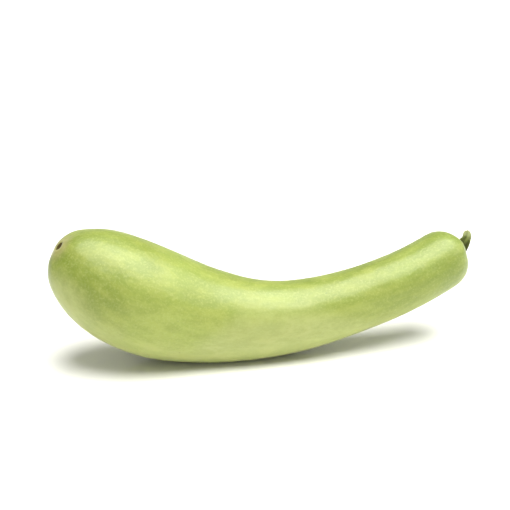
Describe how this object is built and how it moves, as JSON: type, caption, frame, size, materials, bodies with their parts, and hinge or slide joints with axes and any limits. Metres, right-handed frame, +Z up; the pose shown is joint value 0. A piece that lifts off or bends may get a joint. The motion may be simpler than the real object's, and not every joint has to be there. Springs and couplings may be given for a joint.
{
  "type": "bottle gourd",
  "caption": "Club-shaped pale green bottle gourd with a fat belly, a long raised neck and a ridged cut stalk, resting on its belly.",
  "frame": {"origin": "in the small flat spot under the belly, on the surface that the gourd rests on", "axes": "+Z up, +X along the gourd from the blossom end towards the stalk, +Y to its far side"},
  "size_m": [0.3606, 0.1256, 0.118],
  "materials": {
    "skin": "smooth waxy skin, semi-gloss, pale yellow-green with faint mottling",
    "stalk": "rough ridged corky stalk, olive green"
  },
  "bodies": {
    "root": {"fruit": "skin", "stem": "stalk"}
  },
  "joints": []
}
